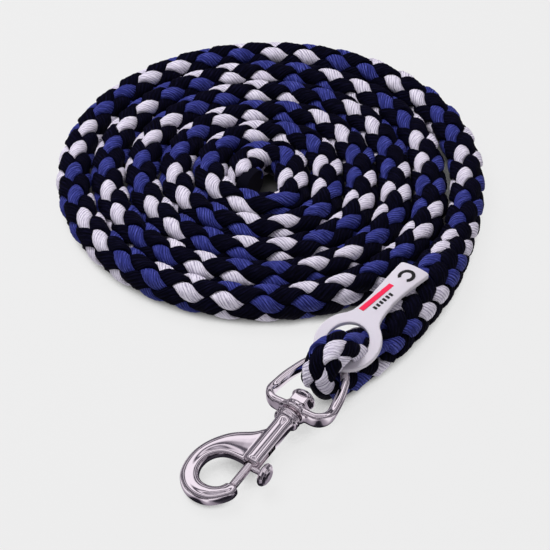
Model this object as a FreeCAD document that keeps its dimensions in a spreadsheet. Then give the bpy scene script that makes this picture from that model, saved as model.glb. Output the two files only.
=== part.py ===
# Lead rope for leading a horse: a coil of rope, a spliced end with an eye loop, a rubber tag
# on the loop and a swivelling bolt snap with a thumb-operated bolt.
# Millimetres. +Z up, the rope lies on the plane z = 0, the snap points along -Y.
import FreeCAD, Part
import Sketcher
import math
import os
from FreeCAD import Vector, Placement, Rotation

os.makedirs("parts", exist_ok=True)
doc = FreeCAD.newDocument("lead_rope")

# ---------------------------------------------------------------- driving dimensions
SHEET = [
    # shift of the whole object from the working origin to its box's bottom centre
    ("origin_x", 22.595), ("origin_y", -7.11),
    # rope coil; angles in degrees
    ("rope_dia", 14.8), ("wrap_pitch", 15.2), ("coil_wraps", 5), ("last_sweep", 215.0),
    ("coil_radius", 86.9), ("coil_cx", -27.97), ("coil_cy", 54.36), ("first_step", 2.0),
    ("exit_angle", 24.4), ("whip_length", 4.0),
    # spliced section: two arcs a and b, each with a radius and a turn in degrees
    ("splice_dia", 21.0), ("splice_taper_from", 42.0), ("splice_taper_to", 84.0),
    ("splice_arc_a", 156.0), ("splice_turn_a", 22.6),
    ("splice_arc_b", 236.0), ("splice_turn_b", 16.3),
    ("tail_dia", 11.8), ("tail_bore", 12.2), ("nose_dia", 14.0), ("socket_dia", 14.5),
    ("flex_gap", 4.0),
    # eye loop through the swivel eye
    ("loop_width", 11.0), ("loop_thick", 8.5),
    # tag: sizes, ring centre, tilt and turn in degrees
    ("tag_ring_dia", 28.0), ("tag_hole_dia", 18.0), ("tag_thick", 2.2), ("tag_tongue", 42.3),
    ("tag_width", 13.0), ("tag_waist", 11.2), ("tag_x", 52.97), ("tag_y", -45.9),
    ("tag_z", 20.3), ("tag_tilt", 16.5), ("tag_turn", -10.7), ("print_thick", 0.3),
    # snap placement: centre of the collar face, nose-down tilt and turn in degrees
    ("snap_x", 44.57), ("snap_y", -84.4), ("snap_z", 9.9), ("snap_tilt", 6.4),
    ("snap_turn", -9.0),
    # swivel
    ("eye_ring_radius", 11.6), ("eye_rod_dia", 4.5), ("eye_near", 14.6), ("eye_far", 20.2),
    ("boss_dia", 10.6), ("boss_bore", 4.3), ("boss_from", 1.2), ("boss_to", 7.4),
    ("post_dia", 4.2), ("post_head_dia", 9.0), ("post_neck", 6.0), ("post_depth", 4.0),
    # snap body
    ("collar_dia", 10.7), ("collar_len", 3.4), ("barrel_dia", 7.6), ("barrel_end", 28.0),
    ("barrel_bore", 4.6), ("bore_bottom", 6.0), ("hook_thick", 7.0), ("hook_round", 2.0),
    ("slot_width", 3.0), ("slot_from", 16.5),
    # bolt, stud and spring
    ("bolt_dia", 3.5), ("bolt_rear_dia", 4.5), ("bolt_rear", 18.5), ("bolt_step", 27.0),
    ("bolt_tip", 40.6), ("stud_dia", 2.4), ("stud_at", 29.4), ("knob_dia", 9.6),
    ("knob_from", 6.4), ("knob_thick", 3.4),
    ("spring_dia", 3.6), ("spring_wire", 0.5), ("spring_pitch", 2.0),
]
sheet = doc.addObject("Spreadsheet::Sheet", "dims")
sheet.Label = "dims"
for row, (alias, value) in enumerate(SHEET, start=1):
    sheet.set("A%d" % row, alias)
    sheet.set("B%d" % row, repr(float(value)))
    sheet.setAlias("B%d" % row, alias)
doc.recompute()


def dim(alias):
    return float(getattr(sheet, alias))


# ---------------------------------------------------------------- document helpers
PIECES = []  # objects to export, each under its Label
X_AXIS, Z_AXIS = Vector(1, 0, 0), Vector(0, 0, 1)


def add_piece(obj, label):
    obj.Label = label
    PIECES.append(obj)
    return obj


def add_shape(label, shape):
    obj = doc.addObject("Part::Feature", label)
    obj.Shape = shape
    return add_piece(obj, label)


def add_body(label):
    return add_piece(doc.addObject("PartDesign::Body", label), label)


def cylinder(name, diameter_alias, placement):
    """Cylinder with its radius bound to a diameter on the sheet; the caller sets its height."""
    obj = doc.addObject("Part::Cylinder", name)
    obj.setExpression("Radius", "dims.%s / 2" % diameter_alias)
    obj.Placement = placement
    return obj


def boolean(kind, name, base, tool):
    obj = doc.addObject(kind, name)
    obj.Base, obj.Tool = base, tool
    return obj


def shifted(x, y, z):
    return Vector(x + dim("origin_x"), y + dim("origin_y"), z)


def sketch_on_xy(body, name):
    sketch = body.newObject("Sketcher::SketchObject", name)
    xy_plane = next(f for f in body.Origin.OriginFeatures if f.Role == "XY_Plane")
    sketch.AttachmentSupport = (xy_plane, [""])
    sketch.MapMode = "FlatFace"
    return sketch


def closed_profile(body, name, points):
    """Sketch of line segments joined end to end into a closed outline."""
    sketch = sketch_on_xy(body, name)
    count = len(points)
    lines = []
    for i in range(count):
        start, end = points[i], points[(i + 1) % count]
        segment = Part.LineSegment(Vector(*start, 0), Vector(*end, 0))
        lines.append(sketch.addGeometry(segment, False))
    for i in range(count):
        following = lines[(i + 1) % count]
        sketch.addConstraint(Sketcher.Constraint("Coincident", lines[i], 2, following, 1))
    return sketch


def pin_radii(sketch, pins):
    """Bind the x of profile points to half a diameter; pins: {point index: alias}."""
    for index, alias in pins.items():
        x = sketch.Geometry[index].StartPoint.x
        constraint = sketch.addConstraint(Sketcher.Constraint("DistanceX", -1, 1, index, 1, x))
        sketch.setExpression("Constraints[%d]" % constraint, "dims.%s / 2" % alias)


def turned(body, kind, name, suffix, points, pins):
    """Revolution or groove of a closed profile about the local Y axis."""
    sketch = closed_profile(body, name, points)
    pin_radii(sketch, pins)
    feature = body.newObject(kind, name + suffix)
    feature.Profile = sketch
    feature.ReferenceAxis = (sketch, ["V_Axis"])
    feature.Angle = 360
    return feature


def revolve(body, name, points, pins):
    return turned(body, "PartDesign::Revolution", name, "_rev", points, pins)


def symmetric_extrusion(body, kind, name, sketch, length_alias):
    """Pad or pocket reaching equally far on both sides of its sketch."""
    feature = body.newObject(kind, name)
    feature.Profile = sketch
    feature.setExpression("Length", "dims." + length_alias)
    # guards against a version in which SideType has taken the place of Midplane
    try:
        feature.Midplane = True
    except Exception:
        feature.SideType = "Symmetric"
    return feature


def recompute_cut(body, name):
    before = body.Shape.Volume
    doc.recompute()
    if body.Shape.Volume > before - 1:
        raise RuntimeError(name + " cut nothing")


# ---------------------------------------------------------------- swept tube of varying section
RING_POLES = 8
POLE_SCALE = 1.0 / 0.9024  # a cubic ring through eight poles runs inside them by this factor


def tube(stations, spans):
    """Solid through stations (centre, side unit, up unit, half width, half height).

    The first and last stations lie beyond the ends. Each face covers at most `spans` spans.
    """
    poles = []
    for k in range(RING_POLES):
        angle = 2 * math.pi * k / RING_POLES
        poles.append([
            centre + side * (half_width * POLE_SCALE * math.cos(angle))
            + up * (half_height * POLE_SCALE * math.sin(angle))
            for centre, side, up, half_width, half_height in stations
        ])
    count = len(stations)
    surface = Part.BSplineSurface()
    surface.buildFromPolesMultsKnots(
        poles, [1] * (RING_POLES + 1), [1] * (count + 4),
        list(range(RING_POLES + 1)), list(range(count + 4)), True, False, 3, 3
    )
    marks = list(range(3, count, spans)) + [count]
    faces = []
    for start, end in zip(marks, marks[1:]):
        strip = surface.copy()
        strip.segment(0, RING_POLES, start, end)
        faces.append(strip.toShape())
    first_cap, last_cap = [
        Part.Face(Part.Wire([surface.vIso(v).toShape()])) for v in (3, count)
    ]
    shell = Part.makeShell([first_cap] + faces + [last_cap])
    shell.sewShape()
    solid = Part.makeSolid(shell)
    if solid.Volume < 0:
        solid.reverse()
    return solid


def round_stations(section_at, start, end, step):
    """Stations of a round tube with upright sections; section_at(s) gives (centre, radius)."""
    nudge = 0.05  # half the span over which the heading is taken
    count = max(4, int(round((end - start) / step)))
    stations = []
    for i in range(-1, count + 2):
        s = start + (end - start) * i / count
        centre, radius = section_at(s)
        heading = section_at(s + nudge)[0] - section_at(s - nudge)[0]
        heading.z = 0
        heading.normalize()
        side = Vector(heading.y, -heading.x, 0)
        stations.append((centre, side, Z_AXIS, radius, radius))
    return stations


# ---------------------------------------------------------------- rope coil
ROPE_RADIUS = dim("rope_dia") / 2
QUARTER = math.pi / 2
EXIT = math.radians(dim("exit_angle"))  # direction from the coil's centre to its outer end
LAST_SWEEP = math.radians(dim("last_sweep"))
WRAPS = int(round(dim("coil_wraps")))
INNER_RADIUS = dim("coil_radius") - dim("wrap_pitch") * WRAPS
WHIP_GAP = 0.02        # radians between the rope's inner end and its cap
WHIP_DIA_RATIO = 0.96  # cap diameter over rope diameter


def unit(angle):
    return Vector(math.cos(angle), math.sin(angle), 0)


COIL_CENTRE = shifted(dim("coil_cx"), dim("coil_cy"), ROPE_RADIUS)
# the coil's outer end, where the spliced section meets it
HINGE = COIL_CENTRE + unit(EXIT) * (dim("coil_radius") + dim("first_step"))


def arc_edge(centre, radius, start, sweep):
    angles = (start, start + sweep / 2, start + sweep)
    return Part.Arc(*[centre + unit(angle) * radius for angle in angles]).toShape()


def arc_pair(centre, radius, start, sweep):
    """An arc as two equal edges."""
    half = sweep / 2
    return [arc_edge(centre, radius, start + half * k, half) for k in range(2)]


def line_edge(start, heading, length):
    return Part.LineSegment(start, start + unit(heading) * length).toShape()


def disc(centre, normal_angle, radius):
    return Part.Face(Part.Wire([Part.Circle(centre, unit(normal_angle), radius).toShape()]))


def coil_path():
    """Centre line from the outer end inwards. Each wrap has three quarters of a circle about
    the coil's centre; the fourth quarter and a short straight take it one pitch further in."""
    outward, along = unit(EXIT), unit(EXIT + QUARTER)
    outer, pitch, step = dim("coil_radius"), dim("wrap_pitch"), dim("first_step")
    first_centre = COIL_CENTRE + outward * step
    edges = [
        arc_edge(first_centre, outer, EXIT, QUARTER),
        line_edge(first_centre + along * outer, EXIT + 2 * QUARTER, step),
    ]
    edges += arc_pair(COIL_CENTRE, outer, EXIT + QUARTER, 2 * QUARTER)
    offset_centre = COIL_CENTRE - along * pitch
    for wrap in range(1, WRAPS + 1):
        radius = outer - pitch * wrap
        edges.append(arc_edge(offset_centre, radius, EXIT + 3 * QUARTER, QUARTER))
        edges.append(line_edge(offset_centre + outward * radius, EXIT + QUARTER, pitch))
        sweep = LAST_SWEEP if wrap == WRAPS else 3 * QUARTER
        edges += arc_pair(COIL_CENTRE, radius, EXIT, sweep)
    return Part.Wire(edges)


def rope_coil():
    """The coil, with a ball nose at its outer end."""
    coil = coil_path().makePipe(disc(HINGE, EXIT + QUARTER, ROPE_RADIUS))
    return coil.fuse(Part.makeSphere(dim("nose_dia") / 2, HINGE))


def end_whipping():
    """Sealed cap on the rope's inner end, on the same centre line."""
    start = EXIT + LAST_SWEEP + WHIP_GAP
    sweep = dim("whip_length") / INNER_RADIUS
    path = Part.Wire([arc_edge(COIL_CENTRE, INNER_RADIUS, start, sweep)])
    base = COIL_CENTRE + unit(start) * INNER_RADIUS
    return path.makePipe(disc(base, start + QUARTER, ROPE_RADIUS * WHIP_DIA_RATIO))


add_shape("rope_coil", rope_coil())
add_shape("rope_end_whipping", end_whipping())

# ---------------------------------------------------------------- spliced lead and the tail inside
RADIUS_A, RADIUS_B = dim("splice_arc_a"), dim("splice_arc_b")
TURN_A, TURN_B = math.radians(dim("splice_turn_a")), math.radians(dim("splice_turn_b"))
LENGTH_A = RADIUS_A * TURN_A
LEAD_LENGTH = LENGTH_A + RADIUS_B * TURN_B
SPLICE_RADIUS = dim("splice_dia") / 2
THROAT_TAPER = 16.0   # length over which the splice narrows towards the throat
THROAT_NARROW = 1.0   # radius lost there
TAIL_START = dim("splice_taper_to") + 6
TAIL_END = LEAD_LENGTH - 0.3
BORE_START = TAIL_START - 1
BORE_END = LEAD_LENGTH + 2


def walk_clockwise(start, heading, radius, angle):
    """Plan point and heading after turning clockwise by an angle from a start."""
    centre_x = start.x + radius * math.sin(heading)
    centre_y = start.y - radius * math.cos(heading)
    heading -= angle
    point = Vector(centre_x - radius * math.sin(heading),
                   centre_y + radius * math.cos(heading), 0)
    return point, heading


EXIT_HEADING = EXIT - QUARTER
ARC_JOIN, JOIN_HEADING = walk_clockwise(HINGE, EXIT_HEADING, RADIUS_A, TURN_A)
THROAT = walk_clockwise(ARC_JOIN, JOIN_HEADING, RADIUS_B, TURN_B)[0]


def lead_point(s):
    """Plan point of the lead, s millimetres from the coil's exit."""
    if s <= LENGTH_A:
        return walk_clockwise(HINGE, EXIT_HEADING, RADIUS_A, s / RADIUS_A)[0]
    return walk_clockwise(ARC_JOIN, JOIN_HEADING, RADIUS_B, (s - LENGTH_A) / RADIUS_B)[0]


def smooth(t):
    t = max(0.0, min(1.0, t))
    return t * t * (3 - 2 * t)


def sleeve_section(s):
    """The sleeve rests on the ground, so its centre is one radius up."""
    taper_from, taper_to = dim("splice_taper_from"), dim("splice_taper_to")
    swell = smooth((s - taper_from) / (taper_to - taper_from))
    radius = ROPE_RADIUS + (SPLICE_RADIUS - ROPE_RADIUS) * swell
    radius -= THROAT_NARROW * smooth((s - (LEAD_LENGTH - THROAT_TAPER)) / THROAT_TAPER)
    point = lead_point(s)
    return Vector(point.x, point.y, radius), radius


def core_tube(diameter, start, end):
    """Round tube of constant section at the full splice's centre height."""
    def section_at(s):
        point = lead_point(s)
        return Vector(point.x, point.y, SPLICE_RADIUS), diameter / 2
    return tube(round_stations(section_at, start, end, step=6.0), spans=20)


def rope_splice():
    """Sleeve, hollowed for the coil's ball nose at one end and the tail at the other."""
    sleeve = tube(round_stations(sleeve_section, dim("flex_gap"), LEAD_LENGTH, step=4.0),
                  spans=12)
    socket = Part.makeSphere(dim("socket_dia") / 2, HINGE)
    bore = core_tube(dim("tail_bore"), BORE_START, BORE_END)
    return sleeve.cut(socket).cut(bore)


add_shape("rope_splice", rope_splice())
add_shape("buried_tail", core_tube(dim("tail_dia"), TAIL_START, TAIL_END))

# ---------------------------------------------------------------- eye loop
# side view of the centre line: plan distance beyond the throat, height
LOOP_LINE = [
    (0.95, 15.25), (5.0, 16.2), (10.5, 18.7), (15.5, 21.6), (20.0, 23.4),
    (24.3, 23.7), (28.0, 22.0), (30.6, 18.4), (31.2, 14.2), (29.4, 10.2),
    (25.6, 7.2), (20.5, 5.6), (14.0, 5.0), (6.0, 4.8), (0.95, 4.7),
]
LOOP_DIRECTION = Vector(-0.36, -0.933, 0).normalize()
LOOP_STEPS = 30


def eye_loop():
    curve = Part.BSplineCurve()
    curve.interpolate([THROAT + LOOP_DIRECTION * u + Vector(0, 0, z) for u, z in LOOP_LINE])
    length = curve.length()
    step = length / LOOP_STEPS
    line = []  # (point, tangent)
    for i in range(LOOP_STEPS + 1):
        parameter = curve.parameterAtDistance(length * i / LOOP_STEPS)
        line.append((curve.value(parameter), Vector(*curve.tangent(parameter)[0])))
    (first, first_tangent), (last, last_tangent) = line[0], line[-1]
    before = (first - first_tangent * step, first_tangent)
    after = (last + last_tangent * step, last_tangent)

    side = Vector(-LOOP_DIRECTION.y, LOOP_DIRECTION.x, 0)
    stations = []
    for point, tangent in [before] + line + [after]:
        up = tangent.cross(side)
        up.normalize()
        stations.append((point, side, up, dim("loop_width") / 2, dim("loop_thick") / 2))
    return tube(stations, spans=8)


add_shape("eye_loop", eye_loop())

# ---------------------------------------------------------------- rubber tag
# Tag frame: origin at the ring's centre, +Y along the tongue. The ring is tilted about its X
# axis, the tongue is level.
TONGUE_START = 8.6
TONGUE_END = TONGUE_START + dim("tag_tongue")
LEVEL_AT = 11.5         # distance up the tilted ring at which its height sets the tongue's
TAG_HOLE_HEIGHT = 12.0
TAG_RING_CENTRE = shifted(dim("tag_x"), dim("tag_y"), dim("tag_z"))
TAG_TURN = Rotation(Z_AXIS, dim("tag_turn"))
RING_FRAME = Placement(TAG_RING_CENTRE, TAG_TURN * Rotation(X_AXIS, dim("tag_tilt")))
TONGUE_TOP = (dim("tag_z") + LEVEL_AT * math.sin(math.radians(dim("tag_tilt")))
              + dim("tag_thick") / 2)
# frame on the tongue's top face
PRINT_FRAME = Placement(Vector(TAG_RING_CENTRE.x, TAG_RING_CENTRE.y, TONGUE_TOP), TAG_TURN)


def in_frame(frame, x, y, z, rotation=Rotation()):
    return frame.multiply(Placement(Vector(x, y, z), rotation))


def tongue():
    half_width, half_waist = dim("tag_width") / 2, dim("tag_waist") / 2
    # one edge from root to tip: distance from the middle, distance along the tongue
    edge = [
        (half_width - 0.6, TONGUE_START), (half_waist, TONGUE_START + 16),
        (half_waist - 0.1, TONGUE_START + 26), (half_width, TONGUE_END - 1.2),
        (half_width - 1.2, TONGUE_END),
    ]
    outline = [Vector(-x, y, 0) for x, y in edge] + [Vector(x, y, 0) for x, y in edge[::-1]]
    wire = doc.addObject("Part::Feature", "tag_outline")
    wire.Shape = Part.makePolygon(outline + outline[:1])
    obj = doc.addObject("Part::Extrusion", "tag_tongue")
    obj.Base = wire
    obj.Dir = Z_AXIS
    obj.Solid = True
    obj.DirMode = "Custom"
    obj.setExpression("LengthFwd", "dims.tag_thick")
    obj.Placement = in_frame(PRINT_FRAME, 0, 0, -dim("tag_thick"))
    return obj


def label_tag():
    ring = cylinder("tag_ring", "tag_ring_dia",
                    in_frame(RING_FRAME, 0, 0, -dim("tag_thick") / 2))
    ring.setExpression("Height", "dims.tag_thick")
    hole = cylinder("tag_hole", "tag_hole_dia",
                    in_frame(RING_FRAME, 0, 0, -TAG_HOLE_HEIGHT / 2))
    hole.Height = TAG_HOLE_HEIGHT
    solid_tag = boolean("Part::Fuse", "tag_fuse", ring, tongue())
    add_piece(boolean("Part::Cut", "label_tag", solid_tag, hole), "label_tag")


def label_bar():
    """Printed bar along the tongue."""
    bar = doc.addObject("Part::Box", "label_bar")
    bar.Length, bar.Width = 2.4, 21.0
    bar.setExpression("Height", "dims.print_thick")
    bar.Placement = in_frame(PRINT_FRAME, -4.9, 14.8, 0, Rotation(Z_AXIS, -6))
    add_piece(bar, "label_bar")


def label_dots():
    """Slanting row of small printed rectangles."""
    length, width = 1.8, 1.1
    first_x, first_y = -0.9, 20.0
    step_x, step_y = 0.2, 2.1
    dots = Part.makeCompound([
        Part.makeBox(length, width, dim("print_thick"),
                     Vector(first_x + step_x * i, first_y + step_y * i, 0))
        for i in range(6)
    ])
    dots.Placement = PRINT_FRAME
    add_shape("label_dots", dots)


def label_emblem():
    """Printed ring near the tongue's tip, open towards the tag's ring."""
    outer_radius, inner_radius = 3.6, 2.0
    gap_width, gap_reach = 3.0, 5.0
    emblem = Part.makeCylinder(outer_radius, dim("print_thick"))
    emblem = emblem.cut(Part.makeCylinder(inner_radius, dim("print_thick")))
    gap = Part.makeBox(gap_width, gap_reach, 3.0, Vector(-gap_width / 2, -gap_reach, -1))
    emblem = emblem.cut(gap)
    emblem.Placement = in_frame(PRINT_FRAME, 0.6, 43.6, 0)
    add_shape("label_emblem", emblem)


label_tag()
label_bar()
label_dots()
label_emblem()

# ---------------------------------------------------------------- swivel
# Snap frame: origin at the centre of the collar face, -Y towards the hook, stud on the +X side.
SNAP = Placement(
    shifted(dim("snap_x"), dim("snap_y"), dim("snap_z")),
    Rotation(Z_AXIS, dim("snap_turn")) * Rotation(X_AXIS, dim("snap_tilt")),
)
Z_TO_PLUS_Y = Rotation(X_AXIS, -90)
Z_TO_MINUS_Y = Rotation(X_AXIS, 90)
EYE_BORE_FROM, EYE_BORE_LENGTH = -2.0, 14.0


def eye_half(name, y_alias, start_angle):
    half = doc.addObject("Part::Torus", name)
    half.setExpression("Radius1", "dims.eye_ring_radius")
    half.setExpression("Radius2", "dims.eye_rod_dia / 2")
    half.Angle3 = 180
    half.Placement = in_frame(SNAP, 0, dim(y_alias), 0, Rotation(Z_AXIS, start_angle))
    return half


def eye_arm(name, side):
    placement = in_frame(SNAP, side * dim("eye_ring_radius"), dim("eye_near"), 0, Z_TO_PLUS_Y)
    arm = cylinder(name, "eye_rod_dia", placement)
    arm.setExpression("Height", "dims.eye_far - dims.eye_near")
    return arm


def swivel_eye():
    """Oblong ring on a boss bored for the post."""
    ring = doc.addObject("Part::MultiFuse", "eye_ring")
    ring.Shapes = [
        eye_half("eye_near_half", "eye_near", 180), eye_half("eye_far_half", "eye_far", 0),
        eye_arm("eye_arm_left", -1), eye_arm("eye_arm_right", 1),
    ]
    boss = cylinder("eye_boss", "boss_dia",
                    in_frame(SNAP, 0, dim("boss_from"), 0, Z_TO_PLUS_Y))
    boss.setExpression("Height", "dims.boss_to - dims.boss_from")
    bore = cylinder("eye_bore", "boss_bore", in_frame(SNAP, 0, EYE_BORE_FROM, 0, Z_TO_PLUS_Y))
    bore.Height = EYE_BORE_LENGTH
    solid_eye = boolean("Part::Fuse", "eye_fuse", ring, boss)
    add_piece(boolean("Part::Cut", "swivel_eye", solid_eye, bore), "swivel_eye")


# Profiles of turned parts below: radius, position along the part's own Y axis.
POST_RADIUS = dim("post_dia") / 2


def swivel_post():
    """Round shank, square neck and mushroom head."""
    post = add_body("swivel_post")
    head_radius = dim("post_head_dia") / 2
    neck_base = dim("boss_to") + 0.12
    head_base = neck_base + 3.4
    core_radius = 2.6
    turned_post = revolve(post, "post_profile", [
        (0, -dim("post_depth")), (POST_RADIUS, -dim("post_depth")), (POST_RADIUS, neck_base),
        (core_radius, neck_base), (core_radius, head_base), (head_radius, head_base),
        (head_radius - 0.5, head_base + 1.4), (head_radius - 1.9, head_base + 2.6),
        (0, head_base + 3.1),
    ], {1: "post_dia"})
    half_neck = dim("post_neck") / 2
    neck_top = head_base + 0.2  # runs a little into the head
    neck = closed_profile(post, "neck_profile", [
        (-half_neck, neck_base), (half_neck, neck_base),
        (half_neck, neck_top), (-half_neck, neck_top),
    ])
    symmetric_extrusion(post, "PartDesign::Pad", "neck_pad", neck, "post_neck")
    post.Placement = SNAP
    doc.recompute()
    if post.Shape.Volume < turned_post.Shape.Volume + 5:
        raise RuntimeError("the post's square neck added nothing")


swivel_eye()
swivel_post()

# ---------------------------------------------------------------- snap body
# hook outline, snap frame x, y: outer edge from the barrel round to the tip, then the inner
# edge from the tip back to the barrel
HOOK_OUTER = [
    (-2.5, -9.5), (-6.1, -14.0), (-12.2, -17.9), (-18.2, -24.3), (-21.5, -31.6),
    (-22.2, -39.2), (-20.4, -46.2), (-15.8, -50.9), (-9.2, -52.7), (-3.0, -51.2),
    (1.2, -47.2), (3.2, -43.4), (2.8, -41.2),
]
HOOK_INNER = [
    (-2.6, -41.2), (-3.5, -43.4), (-6.9, -45.3), (-10.9, -45.1), (-14.2, -42.4),
    (-15.8, -37.8), (-14.8, -32.8), (-11.4, -29.6), (-6.6, -28.7), (-2.5, -29.0),
]
MIN_ROUNDED_EDGE = 30.0  # only the hook's long outline edges are rounded
POST_BORE_GAP = 0.01     # radial


def add_barrel(body):
    """Collar and barrel, with a raised disc on the collar face."""
    collar, barrel = dim("collar_dia") / 2, dim("barrel_dia") / 2
    collar_end, barrel_end = -dim("collar_len"), -dim("barrel_end")
    pad_radius, pad_height = 3.4, 0.9
    revolve(body, "barrel_profile", [
        (0, pad_height), (pad_radius, pad_height), (pad_radius, 0),
        (collar - 0.5, 0), (collar, -0.5), (collar, collar_end + 0.6),
        (collar - 0.6, collar_end), (barrel + 0.7, collar_end - 0.3),
        (barrel + 0.5, collar_end - 1.8), (barrel, collar_end - 2.6),
        (barrel, barrel_end + 0.5), (barrel - 0.5, barrel_end), (0, barrel_end),
    ], {4: "collar_dia", 10: "barrel_dia"})


def add_hook(body):
    sketch = sketch_on_xy(body, "hook_outline")
    outer = [Vector(x, y, 0) for x, y in HOOK_OUTER]
    inner = [Vector(x, y, 0) for x, y in HOOK_INNER]
    for points, next_start in ((outer, inner[0]), (inner, outer[0])):
        spline = Part.BSplineCurve()
        spline.interpolate(points)
        sketch.addGeometry(spline, False)
        sketch.addGeometry(Part.LineSegment(points[-1], next_start), False)
    pad = symmetric_extrusion(body, "PartDesign::Pad", "hook_pad", sketch, "hook_thick")
    doc.recompute()
    return pad


def round_hook(body, pad):
    """Round the long edges of the hook's two flat faces."""
    edges = []
    for i, edge in enumerate(pad.Shape.Edges, start=1):
        box = edge.BoundBox
        on_flat_face = abs(abs(box.ZMin) - dim("hook_thick") / 2) < 1e-3 and box.ZLength < 1e-3
        if on_flat_face and edge.Length > MIN_ROUNDED_EDGE:
            edges.append("Edge%d" % i)
    if not edges:
        return
    fillet = body.newObject("PartDesign::Fillet", "hook_round")
    fillet.Base = (pad, edges)
    fillet.setExpression("Radius", "dims.hook_round")
    doc.recompute()
    failed = "Invalid" in fillet.State or "Error" in fillet.State
    # a fillet that fails is taken out, leaving the hook square-edged
    if failed or fillet.Shape.isNull() or not fillet.Shape.isValid():
        body.removeObject(fillet)
        doc.removeObject(fillet.Name)
        body.Tip = pad
        doc.recompute()


def cut_bore(body, name, radius, start, end, pins):
    points = [(0, start), (radius, start), (radius, end), (0, end)]
    turned(body, "PartDesign::Groove", name, "_cut", points, pins)
    recompute_cut(body, name)


def cut_slot(body):
    """Slot for the thumb stud, open on the +X side and at the barrel's end."""
    inner_x, outer_x = 0.5, dim("barrel_dia")
    start, end = -dim("slot_from"), -dim("barrel_end") - 1.5
    sketch = closed_profile(body, "slot_profile", [
        (inner_x, start), (outer_x, start), (outer_x, end), (inner_x, end),
    ])
    symmetric_extrusion(body, "PartDesign::Pocket", "slot_cut", sketch, "slot_width")
    recompute_cut(body, "slot")


def snap_body():
    body = add_body("snap_body")
    add_barrel(body)
    round_hook(body, add_hook(body))
    cut_bore(body, "bolt_bore", dim("barrel_bore") / 2,
             -dim("bore_bottom"), -dim("barrel_end") - 1, {1: "barrel_bore"})
    cut_bore(body, "post_bore", POST_RADIUS + POST_BORE_GAP, 2, -dim("post_depth") - 0.1, {})
    cut_slot(body)
    body.Placement = SNAP


snap_body()

# ---------------------------------------------------------------- bolt, stud and spring
BOLT_RADIUS = dim("bolt_dia") / 2
SPRING_CLEARANCE = 0.4  # at each end of the spring


def snap_bolt():
    """Guided rear and slim front."""
    bolt = add_body("snap_bolt")
    rear_radius = dim("bolt_rear_dia") / 2
    rear, step, tip = -dim("bolt_rear"), -dim("bolt_step"), -dim("bolt_tip")
    revolve(bolt, "bolt_profile", [
        (0, rear), (rear_radius - 0.2, rear), (rear_radius, rear - 0.2), (rear_radius, step),
        (BOLT_RADIUS, step - 0.5), (BOLT_RADIUS, tip + 0.6), (BOLT_RADIUS - 0.6, tip),
        (0, tip),
    ], {3: "bolt_rear_dia", 5: "bolt_dia"})
    bolt.Placement = SNAP


def thumb_stud():
    """Stem and domed knob, drawn about its own Y axis and laid along the snap's +X."""
    stud = add_body("thumb_stud")
    stem, knob, base = dim("stud_dia") / 2, dim("knob_dia") / 2, dim("knob_from")
    top = base + dim("knob_thick")
    revolve(stud, "stud_profile", [
        (0, BOLT_RADIUS), (stem, BOLT_RADIUS), (stem, base), (knob - 0.7, base),
        (knob, base + 0.7), (knob - 0.1, base + 1.5), (knob - 1.3, base + 2.6),
        (knob - 3.0, top - 0.1), (0, top),
    ], {1: "stud_dia"})
    stud.Placement = in_frame(SNAP, 0, -dim("stud_at"), 0, Rotation(Z_AXIS, -90))
    doc.recompute()


def bolt_spring():
    """Return spring between the bore's bottom and the bolt."""
    helix = doc.addObject("Part::Helix", "spring_path")
    helix.Radius = dim("spring_dia") / 2
    helix.Pitch = dim("spring_pitch")
    helix.Height = dim("bolt_rear") - dim("bore_bottom") - 2 * SPRING_CLEARANCE
    section = doc.addObject("Part::Circle", "spring_wire_section")
    section.setExpression("Radius", "dims.spring_wire / 2")
    section.Placement = Placement(Vector(dim("spring_dia") / 2, 0, 0), Rotation(X_AXIS, 90))
    doc.recompute()
    spring = doc.addObject("Part::Sweep", "bolt_spring")
    spring.Sections = [section]
    spring.Spine = (helix, ["Edge%d" % (i + 1) for i in range(len(helix.Shape.Edges))])
    spring.Solid = True
    spring.Frenet = True
    spring.Placement = in_frame(SNAP, 0, -dim("bore_bottom") - SPRING_CLEARANCE, 0,
                                Z_TO_MINUS_Y)
    add_piece(spring, "bolt_spring")
    doc.recompute()


snap_bolt()
thumb_stud()
bolt_spring()

# ---------------------------------------------------------------- checks and files
failed_objects = [o.Name for o in doc.Objects if "Invalid" in o.State or "Error" in o.State]
if failed_objects:
    raise RuntimeError("failed objects: %s" % failed_objects)
for piece in PIECES:
    shape = piece.Shape
    if shape.isNull() or not shape.isValid() or not shape.Solids:
        raise RuntimeError("bad shape: " + piece.Label)
    shape.exportStep("parts/%s.step" % piece.Label)
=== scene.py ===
"""A braided lead rope coiled flat, with a chromed snap hook and a rubber tag at its free end.

The rope lies on the floor plane z = 0. It spirals counterclockwise and inwards round COIL_CENTRE.
From the coil's +X side the lead runs towards -Y to the eye loop, the swivel eye and the snap, whose
hook points away from the coil. Sizes are in millimetres until a mesh is made (times MM).
"""
import math

import bmesh
import bpy
import numpy as np
from mathutils import Matrix, Vector


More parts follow.
